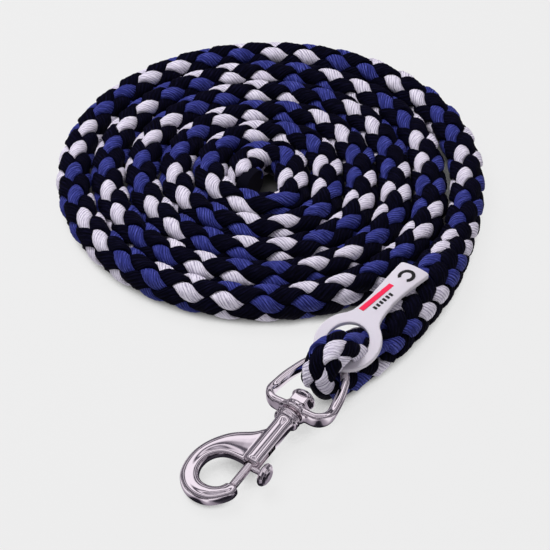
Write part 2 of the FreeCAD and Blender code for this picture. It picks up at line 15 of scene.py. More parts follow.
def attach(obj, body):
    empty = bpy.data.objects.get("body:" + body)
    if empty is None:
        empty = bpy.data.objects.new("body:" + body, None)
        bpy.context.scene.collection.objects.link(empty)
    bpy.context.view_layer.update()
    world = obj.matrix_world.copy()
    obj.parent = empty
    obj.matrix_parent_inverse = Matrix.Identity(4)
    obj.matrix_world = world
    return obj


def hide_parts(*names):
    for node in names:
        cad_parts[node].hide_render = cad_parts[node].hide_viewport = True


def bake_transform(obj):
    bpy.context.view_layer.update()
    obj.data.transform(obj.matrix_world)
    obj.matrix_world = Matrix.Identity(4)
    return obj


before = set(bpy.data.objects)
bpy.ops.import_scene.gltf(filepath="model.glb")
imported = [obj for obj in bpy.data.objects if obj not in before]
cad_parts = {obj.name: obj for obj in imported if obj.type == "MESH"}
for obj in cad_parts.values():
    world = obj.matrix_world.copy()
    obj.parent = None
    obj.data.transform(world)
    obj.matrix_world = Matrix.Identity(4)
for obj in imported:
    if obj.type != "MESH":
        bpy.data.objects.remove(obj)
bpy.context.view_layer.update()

MM = 0.001
QUARTER = math.pi / 2


# ------------------------------------------------------------------ shader helpers
def add_node(tree, kind, inputs=None, **settings):
    """New shader node. inputs maps a socket's name or index to a value or to an output socket."""
    node = tree.nodes.new("ShaderNode" + kind)
    for key, value in settings.items():
        setattr(node, key, value)
    for key, value in (inputs or {}).items():
        if isinstance(value, bpy.types.NodeSocket):
            tree.links.new(value, node.inputs[key])
        else:
            node.inputs[key].default_value = value
    return node


def math_node(tree, operation, *inputs):
    return add_node(tree, "Math", dict(enumerate(inputs)), operation=operation).outputs[0]


def noise(tree, vector, scale, detail=2.0, distortion=0.0):
    node = add_node(tree, "TexNoise", {"Vector": vector, "Scale": scale, "Detail": detail,
                                       "Distortion": distortion})
    return node.outputs["Fac"]


def map_range(tree, value, from_min, from_max, to_min, to_max):
    node = add_node(tree, "MapRange", {0: value, "From Min": from_min, "From Max": from_max,
                                       "To Min": to_min, "To Max": to_max})
    return node.outputs[0]


def color_ramp(tree, value, stops):
    """stops: (position, colour) from first to last."""
    node = add_node(tree, "ValToRGB", {0: value})
    elements = node.color_ramp.elements
    for index, (position, color) in enumerate((stops[0], stops[-1])):
        elements[index].position = position
        elements[index].color = (*color, 1)
    for position, color in stops[1:-1]:
        elements.new(position).color = (*color, 1)
    return node.outputs[0]


def object_coords(tree):
    return add_node(tree, "TexCoord").outputs["Object"]


def new_material(name):
    """Material with nothing but its output node."""
    material = bpy.data.materials.new(name)
    material.use_nodes = True
    tree = material.node_tree
    tree.nodes.clear()
    return material, tree, add_node(tree, "OutputMaterial")


def add_principled(tree, output, inputs):
    shader = add_node(tree, "BsdfPrincipled", inputs)
    tree.links.new(shader.outputs[0], output.inputs[0])


# ------------------------------------------------------------------ materials
PLIES = 15              # plies round a strand, in the yarn shader and in the mesh
PLY_LAY = 120.0         # turns of phase per metre along the strand
PLY_WANDER = 1.6        # turns by which noise makes the plies wander


def yarn(name, mid, dark, light, bump, sheen, rough=0.62, spec=0.2):
    """Spun yarn: fine plies that run along the strand with a slight twist, from the strand's UVs."""
    material, tree, output = new_material(name)
    uv = add_node(tree, "UVMap", uv_map="uv")
    split = add_node(tree, "SeparateXYZ", {0: uv.outputs[0]})
    around, length = split.outputs["X"], split.outputs["Y"]
    coords = object_coords(tree)

    # plies as a sine of the phase, kept from being ruled lines by a slow wander
    wander = noise(tree, coords, scale=160, detail=3)
    lay = math_node(tree, "MULTIPLY", length, PLY_LAY)
    straight = math_node(tree, "MULTIPLY_ADD", around, PLIES, lay)
    phase = math_node(tree, "MULTIPLY_ADD", wander, PLY_WANDER, straight)
    angle = math_node(tree, "MULTIPLY", phase, 2 * math.pi)
    shifted = math_node(tree, "ADD", angle, -math.pi / 2 - PLY_WANDER * math.pi)
    sine = math_node(tree, "SINE", shifted)
    wave = math_node(tree, "MULTIPLY_ADD", sine, 0.5, 0.5)
    rounded = math_node(tree, "POWER", wave, 0.6)

    fibre = noise(tree, coords, scale=900, detail=2)

    # irregular streaks: a noise drawn out along the strand, following the lay of the plies
    skewed = math_node(tree, "MULTIPLY_ADD", length, PLY_LAY / PLIES, around)
    streak_u = math_node(tree, "MULTIPLY", skewed, 46.0)
    streak_v = math_node(tree, "MULTIPLY", length, 230.0)
    streak_uv = add_node(tree, "CombineXYZ", {0: streak_u, 1: streak_v}).outputs[0]
    streaks = noise(tree, streak_uv, scale=1.0, detail=3)

    # height = 0.42 plies + 1.7 streaks - 0.78 + 0.30 fibre
    ply_part = math_node(tree, "MULTIPLY", rounded, 0.42)
    streaked = math_node(tree, "MULTIPLY_ADD", streaks, 1.7, ply_part)
    centred = math_node(tree, "SUBTRACT", streaked, 0.78)
    height = math_node(tree, "MULTIPLY_ADD", fibre, 0.30, centred)

    # the colour follows the height: random darker and lighter streaks, and painted shade in the
    # grooves between the plies with painted highlight on their ridges
    # the last stop is past 1, where Blender clamps it
    base = color_ramp(tree, height, [(0.05, dark), (0.55, mid), (1.15, light)])
    relief = add_node(tree, "Bump", {"Strength": bump, "Distance": 0.0004, "Height": height})
    add_principled(tree, output, {
        "Base Color": base,
        "Normal": relief.outputs[0],
        "Roughness": rough,
        "Specular IOR Level": spec,
        "Sheen Weight": sheen,
        "Sheen Roughness": 0.4,
        "Sheen Tint": (*light, 1),
    })
    return material


def plain(name, color, rough, metal=0.0, spec=0.5):
    material, tree, output = new_material(name)
    add_principled(tree, output, {
        "Base Color": (*color, 1),
        "Roughness": rough,
        "Metallic": metal,
        "Specular IOR Level": spec,
    })
    return material


def rubber(name):
    """Off-white rubber, slightly translucent, with a very fine grain."""
    material, tree, output = new_material(name)
    grain = noise(tree, object_coords(tree), scale=700)
    relief = add_node(tree, "Bump", {"Strength": 0.05, "Distance": 0.0003, "Height": grain})
    add_principled(tree, output, {
        "Normal": relief.outputs[0],
        "Base Color": (0.62, 0.59, 0.65, 1),
        "Roughness": 0.42,
        "Specular IOR Level": 0.35,
        "Subsurface Weight": 0.15,
        "Subsurface Radius": (0.6, 0.5, 0.5),
        "Subsurface Scale": 0.0015,
    })
    return material


# dark and light are the low and high ends of each yarn's height ramp, painted shade in the ply
# grooves and painted highlight on the ridges, and light also tints the sheen; mid is the yarn's own
# colour
WHITE = yarn("yarn_white", mid=(0.72, 0.68, 0.79), dark=(0.30, 0.27, 0.38),
             light=(0.90, 0.87, 0.95), bump=0.9, sheen=0.1)
BLUE = yarn("yarn_blue", mid=(0.028, 0.035, 0.21), dark=(0.004, 0.005, 0.045),
            light=(0.115, 0.135, 0.52), bump=1.0, sheen=0.03)
NAVY = yarn("yarn_navy", mid=(0.0016, 0.0015, 0.0065), dark=(0.0004, 0.0004, 0.0015),
            light=(0.0060, 0.0056, 0.022), bump=0.9, sheen=0.0, rough=0.75, spec=0.06)
CORE = plain("core_dark", (0.004, 0.004, 0.012), rough=0.9, spec=0.1)
SEAL = plain("sealed_end", (0.003, 0.003, 0.007), rough=0.85, spec=0.08)
CHROME = plain("chrome", (0.83, 0.785, 0.805), rough=0.075, metal=1.0)
STEEL = plain("spring_steel", (0.42, 0.42, 0.44), rough=0.25, metal=1.0)
RUBBER = rubber("white_rubber")
RED = plain("red_inlay", (0.78, 0.016, 0.075), rough=0.45, spec=0.35)
BLACK = plain("black_inlay", (0.008, 0.008, 0.009), rough=0.5, spec=0.35)


# ------------------------------------------------------------------ geometry helpers
def unit(angle):
    return np.stack([np.cos(angle), np.sin(angle)], -1)


def ring_angles(count):
    return np.linspace(0, 2 * math.pi, count, endpoint=False)


def signed_power(value, exponent):
    """Power that keeps the sign: turns a cosine and sine into a squarer or slimmer oval."""
    return np.sign(value) * np.abs(value) ** exponent


def smooth_step(value):
    value = np.clip(value, 0, 1)
    return value * value * (3 - 2 * value)


def normalized(vectors):
    return vectors / np.linalg.norm(vectors, axis=1, keepdims=True)


def path_length(points):
    """Running length along a polyline."""
    return np.concatenate([[0], np.cumsum(np.linalg.norm(np.diff(points, axis=0), axis=1))])


def natural_spline(points, count):
    """Natural cubic spline through the points, by chord length, at count even stations."""
    points = np.array(points, float)
    chord = path_length(points)
    size = len(points)
    system = np.zeros((size, size))
    right_hand = np.zeros((size, points.shape[1]))
    system[0, 0] = system[-1, -1] = 1
    for i in range(1, size - 1):
        before, after = chord[i] - chord[i - 1], chord[i + 1] - chord[i]
        system[i, i - 1:i + 2] = before, 2 * (before + after), after
        right_hand[i] = 6 * ((points[i + 1] - points[i]) / after
                             - (points[i] - points[i - 1]) / before)
    second = np.linalg.solve(system, right_hand)
    at = np.linspace(0, chord[-1], count)
    k = np.clip(np.searchsorted(chord, at, side="right") - 1, 0, size - 2)
    span = chord[k + 1] - chord[k]
    near = ((chord[k + 1] - at) / span)[:, None]
    far = ((at - chord[k]) / span)[:, None]
    curve = (near ** 3 - near) * second[k] + (far ** 3 - far) * second[k + 1]
    return near * points[k] + far * points[k + 1] + curve * (span[:, None] ** 2) / 6


def link_object(name, data):
    obj = bpy.data.objects.new(name, data)
    bpy.context.scene.collection.objects.link(obj)
    return obj


def shade(obj, smooth):
    obj.data.polygons.foreach_set("use_smooth", [smooth] * len(obj.data.polygons))


# ------------------------------------------------------------------ rope path
# A station s is a length along the rope from the hinge, where the lead leaves the coil:
# positive into the coil, negative along the lead.
ROPE_RADIUS = 7.4
SPLICE_RADIUS = 10.5            # the lead is thicker where the rope is spliced into itself
SPLICE_FROM, SPLICE_GROWTH = 42.0, 42.0     # start and length of the thickening
TAPER, TAPER_LENGTH = 1.0, 16   # loss of radius at the lead's end
SAMPLE = 0.4                    # spacing of the path table

COIL_CENTRE = np.array([-5.375, 47.25])
COIL_RADIUS = 86.9              # centre line of the outermost wrap
COIL_PITCH = 15.2
COIL_WRAPS = 5                  # inner wraps after the outermost one
COIL_ANGLE = math.radians(24.4)
HINGE_STEP = 2.0                # outward shift of the first quarter turn
LAST_SWEEP = math.radians(215.0)
AXIS_U, AXIS_V = unit(COIL_ANGLE), unit(COIL_ANGLE + QUARTER)
HINGE = COIL_CENTRE + AXIS_U * (COIL_RADIUS + HINGE_STEP)

# the lead is two bends to the right, seen going away from the coil
LEAD_HEADING = COIL_ANGLE - QUARTER
BEND_1_RADIUS, BEND_1_TURN = 156.0, math.radians(22.6)
BEND_2_RADIUS, BEND_2_TURN = 236.0, math.radians(16.3)
BEND_1_LENGTH = BEND_1_RADIUS * BEND_1_TURN
LEAD_LENGTH = BEND_1_LENGTH + BEND_2_RADIUS * BEND_2_TURN


def coil_table():
    """Points of the coil's centre line and the laps turned at each."""
    points, turns = [], []
    turned = 0.0

    def add_arc(centre, radius, start, sweep):
        nonlocal turned
        count = int(round(radius * sweep / SAMPLE))
        angle = np.linspace(0, sweep, count, endpoint=False)
        points.append(centre + radius * unit(start + angle))
        turns.append(turned + angle)
        turned += sweep

    def add_line(start, heading, length):
        count = int(round(length / SAMPLE))
        along_line = np.linspace(0, length, count, endpoint=False)
        points.append(start + along_line[:, None] * unit(heading))
        turns.append(np.full(count, turned))

    first_centre = COIL_CENTRE + AXIS_U * HINGE_STEP
    add_arc(first_centre, COIL_RADIUS, COIL_ANGLE, QUARTER)
    add_line(first_centre + AXIS_V * COIL_RADIUS, COIL_ANGLE + 2 * QUARTER, HINGE_STEP)
    add_arc(COIL_CENTRE, COIL_RADIUS, COIL_ANGLE + QUARTER, 2 * QUARTER)
    # each wrap gains one pitch: a quarter turn about a shifted centre, then a straight
    shifted = COIL_CENTRE - AXIS_V * COIL_PITCH
    for wrap in range(1, COIL_WRAPS + 1):
        radius = COIL_RADIUS - COIL_PITCH * wrap
        add_arc(shifted, radius, COIL_ANGLE + 3 * QUARTER, QUARTER)
        add_line(shifted + AXIS_U * radius, COIL_ANGLE + QUARTER, COIL_PITCH)
        add_arc(COIL_CENTRE, radius, COIL_ANGLE, LAST_SWEEP if wrap == COIL_WRAPS else 3 * QUARTER)
    return np.concatenate(points), np.concatenate(turns) / (2 * math.pi)


def bend_right(start, heading, radius, turn):
    """Point reached from start by a right-hand bend."""
    centre = start + radius * np.array([math.sin(heading), -math.cos(heading)])
    end = heading - turn
    return centre - radius * np.stack([np.sin(end), -np.cos(end)], -1)


BEND_1_END = bend_right(HINGE, LEAD_HEADING, BEND_1_RADIUS, BEND_1_TURN)
LEAD_END = bend_right(BEND_1_END, LEAD_HEADING - BEND_1_TURN, BEND_2_RADIUS, BEND_2_TURN)


def lead_point(distance):
    if distance <= BEND_1_LENGTH:
        return bend_right(HINGE, LEAD_HEADING, BEND_1_RADIUS, distance / BEND_1_RADIUS)
    return bend_right(BEND_1_END, LEAD_HEADING - BEND_1_TURN, BEND_2_RADIUS,
                      (distance - BEND_1_LENGTH) / BEND_2_RADIUS)


def splice_growth(s):
    """0 in the coil, 1 where the splice has its full thickness."""
    return smooth_step((-s - SPLICE_FROM) / SPLICE_GROWTH)


def outer_radius(s):
    """Outer radius of the rope, which is also the height of its centre line."""
    radius = ROPE_RADIUS + (SPLICE_RADIUS - ROPE_RADIUS) * splice_growth(s)
    return radius - TAPER * smooth_step((-s - (LEAD_LENGTH - TAPER_LENGTH)) / TAPER_LENGTH)


# tables of the whole rope, from the lead's end to the coil's inner end
coil_points, coil_laps = coil_table()
coil_stations = path_length(coil_points)
COIL_LENGTH = coil_stations[-1]
lead_distances = np.arange(0, LEAD_LENGTH + 0.01, SAMPLE)
lead_points = np.array([lead_point(distance) for distance in lead_distances])
STATIONS = np.concatenate([-lead_distances[::-1][:-1], coil_stations])
POINTS = np.concatenate([lead_points[::-1][:-1], coil_points])
LAPS = np.concatenate([np.zeros(len(lead_distances) - 1), coil_laps])
HEIGHTS = outer_radius(STATIONS)

# laps turned, roll of the braid about its centre line in degrees
ROLL_TABLE = [
    (0, -19), (0.12, -41), (0.22, -36), (0.31, -27), (0.43, -11), (0.5, -5),
    (0.6, 25), (0.67, 45), (0.75, 55), (1.0, 140), (6.0, 140 + 270 * 5),
]
ROLL_WINDOW = 61                # samples of the moving average that softens the roll
COIL_FACET, LEAD_FACET = 16.2, 11.6         # length of one facet step of the braid
FACET_STATION = 6.2             # station where a facet is centred


def smoothed_roll():
    roll = np.interp(LAPS, *zip(*ROLL_TABLE))
    padded = np.pad(roll, ROLL_WINDOW // 2, mode="edge")
    return np.radians(np.convolve(padded, np.ones(ROLL_WINDOW) / ROLL_WINDOW, mode="valid"))


def braid_phase(s, facet, zero_at):
    """Angle the strands have wound, a quarter turn per facet length, zero at a station."""
    rate = QUARTER / facet
    phase = np.concatenate([[0], np.cumsum(np.diff(s) * (rate[1:] + rate[:-1]) / 2)])
    return phase - np.interp(zero_at, s, phase)


ROLL = smoothed_roll()
PHASE = braid_phase(STATIONS,
                    COIL_FACET + (LEAD_FACET - COIL_FACET) * smooth_step((-STATIONS - 24) / 34.0),
                    FACET_STATION)


def along(s, table):
    """Value of a rope table at stations s."""
    if table.ndim == 1:
        return np.interp(s, STATIONS, table)
    return np.stack([np.interp(s, STATIONS, table[:, i]) for i in range(table.shape[1])], -1)


# ------------------------------------------------------------------ strand meshes
STRAND_AROUND = 56              # points round a strand
CORE_AROUND = 16
PLY_DEPTH = 0.10                # height of the plies' ridges
PLY_TWIST = 0.12                # twist of the ridges, half turns of phase per mm
LEAN = math.radians(34)         # most a strand leans where it dives under another

# name, slot, yarn, winding (+1 or -1), quarter turn it starts at
STRANDS = [
    ("white_1", "strand_white", WHITE, 1, 0),
    ("white_2", "strand_white", WHITE, 1, 1),
    ("blue_1", "strand_blue", BLUE, 1, 2),
    ("blue_2", "strand_blue", BLUE, 1, 3),
    ("navy_1", "strand_navy", NAVY, -1, 0),
    ("navy_2", "strand_navy", NAVY, -1, 1),
    ("navy_3", "strand_navy", NAVY, -1, 2),
    ("navy_4", "strand_navy", NAVY, -1, 3),
]


def tube_mesh(name, rings, material, uv_length=None):
    """Capped tube from (n, m, 3) closed rings in mm. U runs round it, V along it."""
    n, m, _ = rings.shape
    i = np.arange(n - 1)[:, None] * m
    j = np.arange(m)[None, :]
    j2 = (j + 1) % m
    quads = np.stack([i + j, i + j2, i + m + j2, i + m + j], -1).reshape(-1, 4)
    caps = [list(range(m))[::-1], list(range((n - 1) * m, n * m))]
    mesh = bpy.data.meshes.new(name)
    mesh.from_pydata((rings.reshape(-1, 3) * MM).tolist(), [], quads.tolist() + caps)

    layer = mesh.uv_layers.new(name="uv")
    u = np.arange(m + 1) / m
    v = uv_length if uv_length is not None else np.linspace(0, 1, n)
    u0, u1, v0, v1 = np.broadcast_arrays(u[None, :-1], u[None, 1:], v[:-1, None], v[1:, None])
    side_uvs = np.stack([u0, v0, u1, v0, u1, v1, u0, v1], -1).reshape(-1)
    uvs = np.zeros(len(layer.data) * 2)         # the caps keep (0, 0)
    uvs[:len(side_uvs)] = side_uvs
    layer.data.foreach_set("uv", uvs)
    mesh.polygons.foreach_set("use_smooth", [True] * len(mesh.polygons))
    mesh.materials.append(material)

    # turn the faces outwards
    bm = bmesh.new()
    bm.from_mesh(mesh)
    if bm.calc_volume(signed=True) < 0:
        bmesh.ops.reverse_faces(bm, faces=bm.faces)
    bm.to_mesh(mesh)
    bm.free()
    mesh.update()
    return link_object(name, mesh)


def strand_rings(path, normal, half_width, half_thick, length):
    """Ridged lens-shaped rings round a strand's centre line, thickness along the normal."""
    tangent = normalized(np.gradient(path, axis=0))
    upright = normalized(normal - (normal * tangent).sum(1, keepdims=True) * tangent)
    across = np.cross(tangent, upright)
    angle = ring_angles(STRAND_AROUND)
    cos, sin = np.cos(angle), np.sin(angle)
    twist = length * PLY_TWIST
    ridges = np.abs(np.sin(angle[None, :] * PLIES / 2 + twist[:, None] * math.pi))
    ridges = PLY_DEPTH * (ridges - 0.6)
    wide = half_width[:, None] * cos[None, :] + ridges * cos[None, :]
    # the power makes the strand thinner at its edges
    thick = half_thick[:, None] * signed_power(sin, 1.12)[None, :] + ridges * sin[None, :]
    return (path[:, None, :] + across[:, None, :] * wide[..., None]
            + upright[:, None, :] * thick[..., None])


def add_strand(name, material, path, outward, across, lean, half_width, half_thick):
    """One strand. Leaning on its neighbour as it dives under a crossing, it shows one edge."""
    normal = outward * np.cos(lean)[:, None] + across * np.sin(lean)[:, None]
    length = path_length(path)
    rings = strand_rings(path, normal, half_width, half_thick, length)
    strand = tube_mesh(name, rings, material, uv_length=length * MM)
    return strand


def add_core(name, centres, up, side, up_radius, side_radius):
    """Dark tube that closes the gaps between the strands."""
    angle = ring_angles(CORE_AROUND)[None, :, None]
    rings = (centres[:, None, :]
             + np.cos(angle) * up[:, None, :] * np.reshape(up_radius, (-1, 1, 1))
             + np.sin(angle) * side[:, None, :] * np.reshape(side_radius, (-1, 1, 1)))
    core = tube_mesh(name, rings, CORE)
    return core


def rope_run(prefix, start, end, spacing):
    """All eight strands and the core between two stations of the rope."""
    count = int(round((end - start) / spacing)) + 1
    s = np.linspace(start, end, count)
    heading = normalized(along(s + 0.6, POINTS) - along(s - 0.6, POINTS))
    centres = np.column_stack([along(s, POINTS), along(s, HEIGHTS)])
    side = np.column_stack([heading[:, 1], -heading[:, 0], np.zeros(count)])
    up = np.tile([0.0, 0.0, 1.0], (count, 1))
    phase = along(s, PHASE)
    roll = along(s, ROLL)
    growth = splice_growth(s)
    weave = 1.4 + 0.25 * growth                 # how far a strand weaves in and out
    half_thick = 1.95
    half_width = 3.55 * (1 + 0.16 * growth)
    mean_radius = outer_radius(s) + 0.55 - weave - half_thick

    pieces = []
    for name, slot, material, winding, quarter in STRANDS:
        angle = roll + quarter * QUARTER + winding * phase
        cos, sin = np.cos(angle)[:, None], np.sin(angle)[:, None]
        outward = cos * up + sin * side
        across = -sin * up + cos * side
        lift = winding * np.cos(4 * phase)      # 1 on the outside, -1 underneath
        width_factor = 0.91 if winding > 0 else 1.13
        # strands fatten a little where they lie on the outside
        pieces.append(add_strand(
            prefix + "_" + name, material,
            path=centres + outward * (mean_radius + weave * lift)[:, None],
            outward=outward, across=across, lean=LEAN * np.sin(4 * phase),
            half_width=half_width * width_factor * (1 + 0.07 * lift),
            half_thick=half_thick * (1 + 0.05 * lift)))
    core_radius = (mean_radius - 1.2)[::4]
    pieces.append(add_core(prefix + "_core", centres[::4], up[::4], side[::4],
                           core_radius, core_radius))
    return pieces


# ------------------------------------------------------------------ coil and lead
COIL_FROM = 10.0                # station where the coil's mesh takes over from the lead's
OVERLAP = 0.2


for piece in rope_run("coil", COIL_FROM - OVERLAP, COIL_LENGTH, spacing=1.45):
    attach(piece, "coil")
    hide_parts("rope_coil")

for piece in rope_run("lead", -LEAD_LENGTH, COIL_FROM + OVERLAP, spacing=0.9):
    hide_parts("rope_splice")
    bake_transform(piece)

# ------------------------------------------------------------------ eye loop
# centre line: distance beyond the lead's end, height
LOOP_PATH = [
    (0.95, 15.25), (5.0, 16.2), (10.5, 18.7), (15.5, 21.6), (20.0, 23.4),
    (24.3, 23.7), (28.0, 22.0), (30.6, 18.4), (31.2, 14.2), (29.4, 10.2),
    (25.6, 7.2), (20.5, 5.6), (14.0, 5.0), (6.0, 4.8), (0.95, 4.7),
]
LOOP_HEADING = np.array([-0.36, -0.933])
LOOP_HEADING /= np.linalg.norm(LOOP_HEADING)
LOOP_RINGS = 150
LOOP_OVERRUN = 1.5              # how far both ends run on into the lead
LOOP_UPPER = 25.6               # station of the upper facets, where the rope starts to turn down
LOOP_HALF_WIDTH, LOOP_HALF_THICK = 7.9, 5.6     # outer section of the rope in the loop
LOOP_STRAND_THICK = 1.85        # half thickness of one strand
LOOP_WEAVE = 1.0
# loop station, roll of the braid in degrees
LOOP_ROLL = [(10, 8), (25.6, 20), (36.0, 62), (48, 84)]


def loop_centres(s, curve, stations):
    """Centre line at stations s, running on level past both ends."""
    total = stations[-1]
    beyond = np.interp(s, stations, curve[:, 0])
    beyond = np.where(s > total, curve[-1, 0] - (s - total), beyond)
    beyond = np.where(s < 0, curve[0, 0] + s * 0.97, beyond)
    height = np.interp(s, stations, curve[:, 1])
    return np.column_stack([LEAD_END[0] + LOOP_HEADING[0] * beyond,
                            LEAD_END[1] + LOOP_HEADING[1] * beyond, height])


def loop_run():
    curve = natural_spline(LOOP_PATH, 3000)
    stations = path_length(curve)
    s = np.linspace(-LOOP_OVERRUN, stations[-1] + LOOP_OVERRUN, LOOP_RINGS)
    centres = loop_centres(s, curve, stations)
    tangent = normalized(np.gradient(centres, axis=0))
    # to the right, looking back towards the coil
    side = np.tile([-LOOP_HEADING[1], LOOP_HEADING[0], 0.0], (LOOP_RINGS, 1))
    outer = np.cross(tangent, side)
    # facets are closer on the centre line where the rope bends
    facet = 12.5 - 1.9 * smooth_step((s - 17) / 5) * (1 - smooth_step((s - 40) / 6))
    phase = -braid_phase(s, facet, LOOP_UPPER)
    roll = np.radians(np.interp(s, *zip(*LOOP_ROLL)))

    pieces = []
    for name, slot, material, winding, quarter in STRANDS:
        coloured = winding > 0
        start = quarter if coloured else quarter - 1
        angle = roll + start * QUARTER + winding * phase
        cos, sin = np.cos(angle)[:, None], np.sin(angle)[:, None]
        lift = winding * np.cos(4 * phase)
        proud = 0.12 if coloured else 0.0
        half_width = 3.8 if coloured else 3.7
        inset = (LOOP_WEAVE * lift + proud - LOOP_STRAND_THICK - LOOP_WEAVE)[:, None]
        path = (centres + sin * side * (LOOP_HALF_WIDTH + inset)
                + cos * outer * (LOOP_HALF_THICK + inset))
        outward = normalized(sin * side * LOOP_HALF_THICK / LOOP_HALF_WIDTH + cos * outer)
        pieces.append(add_strand(
            "loop_" + name, material, path=path,
            outward=outward, across=cos * side - sin * outer,
            lean=0.9 * LEAN * np.sin(4 * phase),
            half_width=half_width * (1 + 0.05 * lift),
            half_thick=LOOP_STRAND_THICK * (1 + 0.04 * lift)))
    core_inset = LOOP_STRAND_THICK * 2 + 0.2
    pieces.append(add_core("loop_core", centres, outer, side,
                           LOOP_HALF_THICK - core_inset, LOOP_HALF_WIDTH - core_inset))
    return pieces


for piece in loop_run():
    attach(piece, "lead")
    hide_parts("eye_loop")


# ------------------------------------------------------------------ mesh helpers for the hardware
def solid(name, verts, faces):
    """Closed mesh object from points in metres, its faces turned outwards."""
    mesh = bpy.data.meshes.new(name)
    mesh.from_pydata([tuple(vert) for vert in verts], [], faces)
    mesh.update()
    obj = link_object(name, mesh)
    bm = bmesh.new()
    bm.from_mesh(mesh)
    bmesh.ops.recalc_face_normals(bm, faces=bm.faces)
    if bm.calc_volume(signed=True) < 0:
        bmesh.ops.reverse_faces(bm, faces=bm.faces)
    bm.to_mesh(mesh)
    bm.free()
    mesh.update()
    return obj


def ring_solid(name, rings, closed=False):
    """rings: (n, m, 3) in mm. closed joins the last ring to the first, else the ends are capped."""
    rings = np.asarray(rings, float) * MM
    n, m, _ = rings.shape
    faces = []
    for i in range(n if closed else n - 1):
        this, following = i * m, ((i + 1) % n) * m
        for j in range(m):
            k = (j + 1) % m
            faces.append((this + j, this + k, following + k, following + j))
    if not closed:
        faces.append(tuple(range(m))[::-1])
        faces.append(tuple(range((n - 1) * m, n * m)))
    return solid(name, rings.reshape(-1, 3), faces)


def square_ring(half, power, count, y):
    """Rounded-square ring across the Y axis. A higher power is squarer."""
    angle = ring_angles(count)
    x = half * signed_power(np.cos(angle), 2 / power)
    z = half * signed_power(np.sin(angle), 2 / power)
    return np.column_stack([x, np.full(count, y), z])


def revolve(name, profile, count):
    """profile: (radius, y) pairs, turned about the Y axis."""
    angle = ring_angles(count)
    rings = []
    for radius, y in profile:
        radius = max(radius, 0.02)
        rings.append(np.column_stack([radius * np.cos(angle), np.full(count, y),
                                      radius * np.sin(angle)]))
    return ring_solid(name, rings)


def cylinder(name, radius, y0, y1, count):
    return revolve(name, [(0, y0), (radius, y0), (radius, y1), (0, y1)], count)


def bake(obj):
    """Applies an object's modifiers."""
    depsgraph = bpy.context.evaluated_depsgraph_get()
    mesh = bpy.data.meshes.new_from_object(obj.evaluated_get(depsgraph))
    old = obj.data
    obj.modifiers.clear()
    obj.data = mesh
    bpy.data.meshes.remove(old)


def join(parts, name):
    bm = bmesh.new()
    for part in parts:
        bm.from_mesh(part.data)
        bpy.data.objects.remove(part)
    mesh = bpy.data.meshes.new(name)
    bm.to_mesh(mesh)
    bm.free()
    return link_object(name, mesh)


def melt(obj, voxel, rounds):
    """Unites overlapping closed parts and rounds the corners where they meet, like a casting."""
    remesh = obj.modifiers.new("remesh", "REMESH")
    remesh.mode = "VOXEL"
    remesh.voxel_size = voxel * MM
    remesh.adaptivity = 0
    smooth = obj.modifiers.new("smooth", "SMOOTH")
    smooth.iterations = rounds
    smooth.factor = 0.5
    bake(obj)
    shade(obj, True)


def cut(obj, tools):
    for tool in tools:
        boolean = obj.modifiers.new("cut", "BOOLEAN")
        boolean.operation = "DIFFERENCE"
        boolean.solver = "EXACT"
        boolean.object = tool
    bake(obj)
    for tool in tools:
        bpy.data.objects.remove(tool)


def place(obj, matrix, material, body, node):
    """Moves a finished piece into the frame and ties it to its material, body and CAD node."""
    obj.data.transform(matrix)
    obj.data.materials.clear()
    obj.data.materials.append(material)
    obj.data.update()
    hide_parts(node)
    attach(obj, body)


# ------------------------------------------------------------------ snap: hook, barrel and collar
# The snap's own frame: +Y along its axis towards the rope, Z through its thickness.
SNAP_MATRIX = (Matrix.Translation(Vector((67.165 * MM, -91.51 * MM, 9.9 * MM)))
               @ Matrix.Rotation(math.radians(-9.0), 4, "Z")
               @ Matrix.Rotation(math.radians(6.4), 4, "X"))
CASTING_VOXEL = 0.27

# hook's outer and inner edges, x and y, from the barrel round to the nose
HOOK_OUTER = [
    (-1.0, -8.0), (-2.5, -9.5), (-6.1, -13.6), (-12.2, -17.7), (-18.2, -24.1),
    (-21.6, -31.6), (-22.3, -39.2), (-20.5, -46.4), (-15.8, -51.2), (-9.2, -53.0),
    (-3.0, -51.4), (1.2, -47.4), (3.3, -43.4), (3.2, -41.3),
]
HOOK_INNER = [
    (-0.5, -29.6), (-2.5, -29.0), (-6.6, -28.7), (-11.4, -29.6), (-14.8, -32.8),
    (-15.8, -37.8), (-14.2, -42.4), (-10.9, -45.1), (-6.9, -45.3), (-3.7, -43.6),
    (-2.6, -41.3),
]
# share of the way round the hook, half thickness
HOOK_THICKNESS = [(0, 2.9), (0.12, 3.0), (0.35, 3.3), (0.6, 3.7), (0.8, 3.8), (0.93, 3.5),
                  (1.0, 3.0)]
# y, half width, squareness
BARREL = [
    (-3.2, 4.6, 2.0), (-3.9, 4.2, 2.1), (-5.0, 3.9, 2.2), (-7.0, 3.75, 2.35), (-10, 3.75, 2.4),
    (-20, 3.75, 2.4), (-26.6, 3.75, 2.4), (-27.6, 3.5, 2.4), (-28.2, 2.7, 2.8),
]
# radius, y
COLLAR = [
    (0, 0.9), (3.2, 0.9), (3.3, 0.1), (4.6, 0.1), (5.2, -0.2), (5.45, -0.7), (5.4, -1.2),
    (4.85, -1.45), (4.8, -1.75), (5.35, -2.0), (5.5, -2.5), (5.2, -3.1), (4.6, -3.5),
    (4.2, -4.2), (0, -4.4),
]


